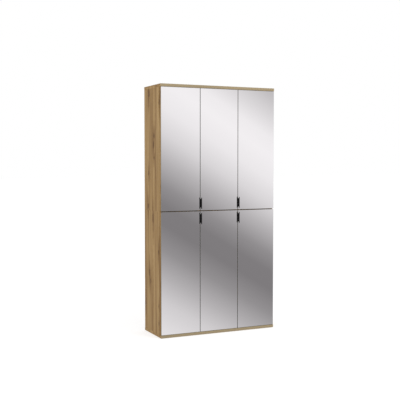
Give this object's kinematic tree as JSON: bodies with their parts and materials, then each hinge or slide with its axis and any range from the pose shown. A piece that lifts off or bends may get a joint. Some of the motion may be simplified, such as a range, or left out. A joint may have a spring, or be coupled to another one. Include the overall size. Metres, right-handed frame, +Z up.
{
  "type": "wardrobe with doors",
  "caption": "Tall shallow wardrobe with mirror-fronted doors in two rows, oak-look boards, black edge pulls, shelves and hanging rails inside.",
  "frame": {"origin": "middle of the footprint, on the floor, midway between the pulls' front and the back panel's rear face", "axes": "+X along the width, +Z up, the mirror doors face -Y"},
  "size_m": [1, 0.369, 1.97],
  "materials": {
    "oak_board": "melamine-faced board with a knotty, greyed oak print, matt, vertical grain",
    "back_panel": "thin hardboard, pale lacquered face",
    "mirror_glass": "silvered 4 mm float glass with ground edges",
    "black_metal": "black powder coat, satin",
    "bright_steel": "nickel-plated steel",
    "chromed_tube": "chrome-plated tube",
    "zinc": "zinc-plated die casting",
    "black_nylon": "black nylon",
    "clear_rubber": "clear soft polyurethane"
  },
  "bodies": {
    "case": {"top_board": "oak_board", "bottom_board": "oak_board", "left_side_lower": "oak_board", "left_side_upper": "oak_board", "right_side_lower": "oak_board", "right_side_upper": "oak_board", "partition_lower": "oak_board", "partition_upper": "oak_board", "middle_board_lower": "oak_board", "middle_board_upper": "oak_board", "back_panel_lower": "back_panel", "back_panel_upper": "back_panel", "hat_shelf": "oak_board", "wide_shelf_1": "oak_board", "wide_shelf_2": "oak_board", "narrow_shelf_lower_1": "oak_board", "narrow_shelf_lower_2": "oak_board", "narrow_shelf_lower_3": "oak_board", "narrow_shelf_upper_1": "oak_board", "narrow_shelf_upper_2": "oak_board", "shelf_pins": "bright_steel", "clothes_rails": "chromed_tube", "rail_supports": "chromed_tube", "cam_locks": "zinc", "cam_bolts": "zinc", "module_bolts": "bright_steel", "floor_glides": "black_nylon", "door_bumpers": "clear_rubber", "wall_brackets": "zinc", "wood_screws": "bright_steel", "hinge_arms": "bright_steel", "hinge_plates": "bright_steel"},
    "lower_left_door": {"left_door_lower": "oak_board", "left_mirror_lower": "mirror_glass", "left_hinge_cups_lower": "bright_steel"},
    "lower_left_hinge_links": {"left_hinge_links_lower": "bright_steel"},
    "lower_middle_door": {"middle_door_lower": "oak_board", "middle_mirror_lower": "mirror_glass", "middle_hinge_cups_lower": "bright_steel", "middle_pull_lower": "black_metal"},
    "lower_middle_hinge_links": {"middle_hinge_links_lower": "bright_steel"},
    "lower_right_door": {"right_door_lower": "oak_board", "right_mirror_lower": "mirror_glass", "right_hinge_cups_lower": "bright_steel", "right_pull_lower": "black_metal"},
    "lower_right_hinge_links": {"right_hinge_links_lower": "bright_steel"},
    "upper_left_door": {"left_door_upper": "oak_board", "left_mirror_upper": "mirror_glass", "left_hinge_cups_upper": "bright_steel"},
    "upper_left_hinge_links": {"left_hinge_links_upper": "bright_steel"},
    "upper_middle_door": {"middle_door_upper": "oak_board", "middle_mirror_upper": "mirror_glass", "middle_hinge_cups_upper": "bright_steel", "middle_pull_upper": "black_metal"},
    "upper_middle_hinge_links": {"middle_hinge_links_upper": "bright_steel"},
    "upper_right_door": {"right_door_upper": "oak_board", "right_mirror_upper": "mirror_glass", "right_hinge_cups_upper": "bright_steel", "right_pull_upper": "black_metal"},
    "upper_right_hinge_links": {"right_hinge_links_upper": "bright_steel"}
  },
  "joints": [
    {"name": "lower_left_door_swing", "type": "hinge", "parent": "case", "child": "lower_left_door", "pos_m": [-0.49, -0.1605, 0.50513], "axis": [0, 0, -1], "range_deg": [0, 90]},
    {"name": "lower_left_link_swing", "type": "hinge", "parent": "case", "child": "lower_left_hinge_links", "pos_m": [-0.477, -0.1445, 0.50513], "axis": [0, 0, -1], "range_deg": [0, 60]},
    {"name": "lower_middle_door_swing", "type": "hinge", "parent": "case", "child": "lower_middle_door", "pos_m": [0.15667, -0.1605, 0.50513], "axis": [0, 0, 1], "range_deg": [0, 90]},
    {"name": "lower_middle_link_swing", "type": "hinge", "parent": "case", "child": "lower_middle_hinge_links", "pos_m": [0.14367, -0.1445, 0.50513], "axis": [0, 0, 1], "range_deg": [0, 60]},
    {"name": "lower_right_door_swing", "type": "hinge", "parent": "case", "child": "lower_right_door", "pos_m": [0.49, -0.1605, 0.50513], "axis": [0, 0, 1], "range_deg": [0, 90]},
    {"name": "lower_right_link_swing", "type": "hinge", "parent": "case", "child": "lower_right_hinge_links", "pos_m": [0.477, -0.1445, 0.50513], "axis": [0, 0, 1], "range_deg": [0, 60]},
    {"name": "upper_left_door_swing", "type": "hinge", "parent": "case", "child": "upper_left_door", "pos_m": [-0.49, -0.1605, 1.46787], "axis": [0, 0, -1], "range_deg": [0, 90]},
    {"name": "upper_left_link_swing", "type": "hinge", "parent": "case", "child": "upper_left_hinge_links", "pos_m": [-0.477, -0.1445, 1.46787], "axis": [0, 0, -1], "range_deg": [0, 60]},
    {"name": "upper_middle_door_swing", "type": "hinge", "parent": "case", "child": "upper_middle_door", "pos_m": [0.15667, -0.1605, 1.46787], "axis": [0, 0, 1], "range_deg": [0, 90]},
    {"name": "upper_middle_link_swing", "type": "hinge", "parent": "case", "child": "upper_middle_hinge_links", "pos_m": [0.14367, -0.1445, 1.46787], "axis": [0, 0, 1], "range_deg": [0, 60]},
    {"name": "upper_right_door_swing", "type": "hinge", "parent": "case", "child": "upper_right_door", "pos_m": [0.49, -0.1605, 1.46787], "axis": [0, 0, 1], "range_deg": [0, 90]},
    {"name": "upper_right_link_swing", "type": "hinge", "parent": "case", "child": "upper_right_hinge_links", "pos_m": [0.477, -0.1445, 1.46787], "axis": [0, 0, 1], "range_deg": [0, 60]}
  ],
  "couplings": [
    {"joint": "lower_left_link_swing", "follows": "lower_left_door_swing", "ratio": 0.65},
    {"joint": "lower_middle_link_swing", "follows": "lower_middle_door_swing", "ratio": 0.65},
    {"joint": "lower_right_link_swing", "follows": "lower_right_door_swing", "ratio": 0.65},
    {"joint": "upper_left_link_swing", "follows": "upper_left_door_swing", "ratio": 0.65},
    {"joint": "upper_middle_link_swing", "follows": "upper_middle_door_swing", "ratio": 0.65},
    {"joint": "upper_right_link_swing", "follows": "upper_right_door_swing", "ratio": 0.65}
  ]
}
